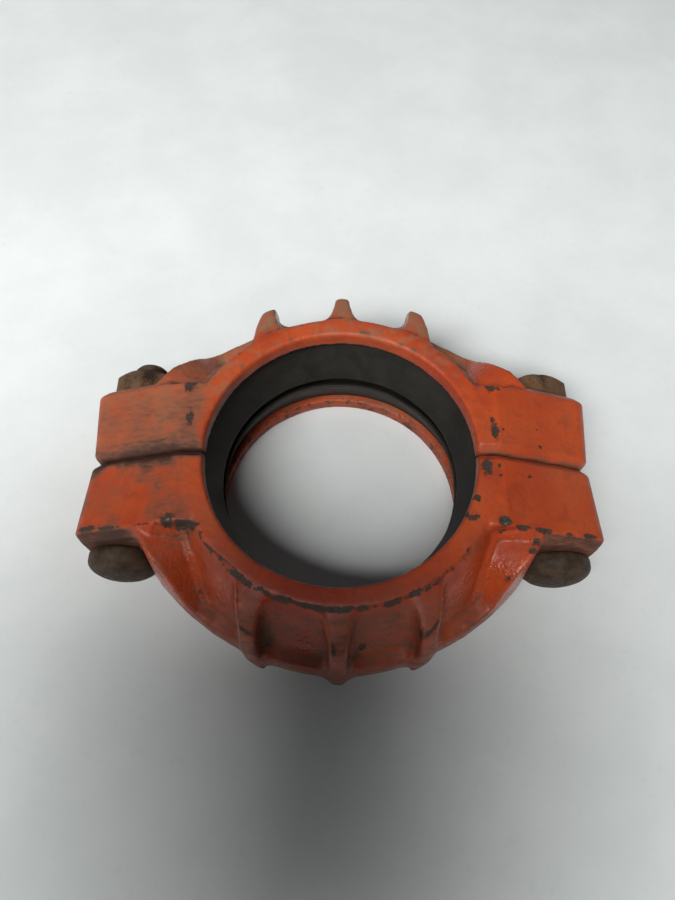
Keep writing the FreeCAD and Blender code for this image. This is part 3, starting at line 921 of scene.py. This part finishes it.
def steel_material():
    """Dark oxidised steel with brown rust in patches."""
    nodes = Nodes("oxidised_steel")
    rust = nodes.attribute("rust")
    fine = nodes.noise(1.2 * MM, 4.0, 0.65)
    medium = nodes.noise(5.0 * MM, 4.0, 0.6)
    colour = nodes.mix(nodes.ramp(medium, 0.35, 0.65), STEEL_DARK, STEEL_LIGHT)
    rust_value = nodes.math("ADD", rust, nodes.math("SUBTRACT", fine, 0.5))
    colour = nodes.mix(nodes.ramp(rust_value, 0.50, 0.85, 0.0, 0.7), colour, RUST_BROWN)
    colour = nodes.mix(nodes.ramp(fine, 0.60, 0.72, 0.0, 0.7), colour, OXIDE_BLACK)
    rough = nodes.ramp(fine, 0.3, 0.7, *STEEL_ROUGH)
    nodes.bump(nodes.math("ADD", fine, medium), 0.18 * MM)
    nodes.specular(STEEL_SPECULAR)
    return nodes.finish(colour, rough, STEEL_METALLIC)


def floor_material():
    """Pale paper with very faint marks."""
    nodes = Nodes("pale_paper")
    clouds = nodes.noise(60.0 * MM, 5.0, 0.6)
    fine = nodes.noise(4.0 * MM, 4.0, 0.6)
    colour = nodes.mix(nodes.ramp(clouds, 0.3, 0.7), PAPER_SHADE, PAPER_PALE)
    colour = nodes.mix(nodes.ramp(fine, 0.55, 0.8, 0.0, 0.25), colour, PAPER_MARK)
    nodes.bump(fine, 0.2 * MM, 0.4)
    return nodes.finish(colour, PAPER_ROUGH)


def card_material():
    """Black studio card."""
    nodes = Nodes("black_card")
    fine = nodes.noise(6.0 * MM, 3.0)
    return nodes.finish(nodes.mix(fine, CARD_DARK, CARD_LIGHT), CARD_ROUGH)


# ---------------------------------------------------------------- camera, light and floor

CAMERA_PLACE = Vector((-0.0003, -0.1166, 0.2781))
CAMERA_DOWN = math.radians(64.59)
CAMERA_TURN = math.radians(0.44)
CAMERA_ROLL = math.radians(0.32)
CAMERA_LENS = 27.04
CAMERA_SENSOR = 36.0
CAMERA_CLIP = 0.01

LIGHT_PLACE = (-0.50, -0.90, 1.5)
LIGHT_TILT = math.radians(31.0)
LIGHT_SIZE = (1.15, 0.80)
LIGHT_POWER = 57.0
LIGHT_COLOUR = (0.98, 1.0, 0.985)

ROOM_COLOUR = (0.90, 0.97, 1.0, 1.0)
# How bright the room is by direction: axis, where the change starts and ends, and the brightness
# there. The two are multiplied.
ROOM_SHADES = (("Y", -0.35, 0.8, 0.08, 1.05), ("Z", 0.0, 0.9, 0.34, 0.12))

FLOOR_OUTLINE = ((-9.0, -9.0), (9.0, -9.0), (9.0, 9.0), (-9.0, 9.0))
CARD_OUTLINE = ((-0.165, -0.173), (-0.220, -0.210), (-0.230, -0.31), (-0.19, -0.43),
                (-0.03, -0.43), (0.005, -0.31), (0.005, -0.210), (-0.035, -0.173))
CARD_HEIGHT = 0.31


def make_camera():
    """Camera above the near side, looking down at the coupling."""
    data = bpy.data.cameras.new("camera")
    data.lens = CAMERA_LENS
    data.sensor_width = CAMERA_SENSOR
    data.clip_start = CAMERA_CLIP
    camera = bpy.data.objects.new("camera", data)
    bpy.context.scene.collection.objects.link(camera)
    turn = Matrix.Rotation(CAMERA_TURN, 4, "Z")
    tilt = Matrix.Rotation(math.pi / 2.0 - CAMERA_DOWN, 4, "X")
    roll = Matrix.Rotation(CAMERA_ROLL, 4, "Z")
    camera.matrix_world = Matrix.Translation(CAMERA_PLACE) @ turn @ tilt @ roll
    bpy.context.scene.camera = camera


def make_light():
    """Oval soft light with one axis along X, tilted about that axis."""
    data = bpy.data.lights.new("ceiling", "AREA")
    data.shape = "ELLIPSE"
    data.size, data.size_y = LIGHT_SIZE
    data.energy = LIGHT_POWER
    data.color = LIGHT_COLOUR
    light = bpy.data.objects.new("ceiling", data)
    bpy.context.scene.collection.objects.link(light)
    light.location = LIGHT_PLACE
    light.rotation_euler = (LIGHT_TILT, 0.0, 0.0)


def make_world():
    """Room light: pale walls under a darker ceiling, and dimmer on the viewer's side."""
    world = bpy.data.worlds.new("room")
    world.use_nodes = True
    tree = world.node_tree
    background = tree.nodes["Background"]
    background.inputs["Color"].default_value = ROOM_COLOUR
    place = tree.nodes.new("ShaderNodeTexCoord")
    split = tree.nodes.new("ShaderNodeSeparateXYZ")
    tree.links.new(place.outputs["Generated"], split.inputs["Vector"])
    product = tree.nodes.new("ShaderNodeMath")
    product.operation = "MULTIPLY"
    for number, (axis, start, end, low, high) in enumerate(ROOM_SHADES):
        shade = tree.nodes.new("ShaderNodeMapRange")
        tree.links.new(split.outputs[axis], shade.inputs["Value"])
        shade.inputs["From Min"].default_value = start
        shade.inputs["From Max"].default_value = end
        shade.inputs["To Min"].default_value = low
        shade.inputs["To Max"].default_value = high
        tree.links.new(shade.outputs["Result"], product.inputs[number])
    tree.links.new(product.outputs["Value"], background.inputs["Strength"])
    bpy.context.scene.world = world


def flat_stage(name, outline, height, material):
    """Level face at the given height, which isn't part of the object."""
    mesh = bpy.data.meshes.new(name)
    mesh.from_pydata([(x, y, height) for x, y in outline], [], [tuple(range(len(outline)))])
    stage = new_piece(name, mesh)
    mesh.materials.append(material)
    return stage


def make_stage():
    """Pale floor, one soft light from the near side, and a card that shades the nearest part."""
    bpy.context.scene.view_settings.view_transform = "Standard"
    flat_stage("floor", FLOOR_OUTLINE, FLOOR_Z, floor_material())
    card = flat_stage("shading_card", CARD_OUTLINE, CARD_HEIGHT, card_material())
    card.visible_camera = False
    make_light()
    make_world()


# ---------------------------------------------------------------- the pieces

# Seeds of the noise on each kind of piece.
CASTING_SEEDS = {"front": 1, "back": 11}
GASKET_SEED = 21
BOLT_SEEDS = {"left": 31, "right": 32}
NUT_SEEDS = {"left": 41, "right": 42}

make_camera()
make_stage()
PAINT = paint_material()
RUBBER = rubber_material()
STEEL = steel_material()

for body, seed in CASTING_SEEDS.items():
    node = "housing_" + body
    finish_piece(casting(node, node + "_cast", seed), PAINT, body, node)

gasket = gasket_piece("gasket_ring", GASKET_SEED)
finish_piece(gasket, RUBBER, "gasket", "gasket")

for side in ("left", "right"):
    node = "bolt_" + side
    bolt = bolt_piece(node, "track_bolt_" + side, -NUT_SEAT_Y, BOLT_SEEDS[side])
    finish_piece(bolt, STEEL, "front", node)
    node = "nut_" + side
    nut = nut_piece(node, "hex_nut_" + side, NUT_SEEDS[side])
    finish_piece(nut, STEEL, node, node)
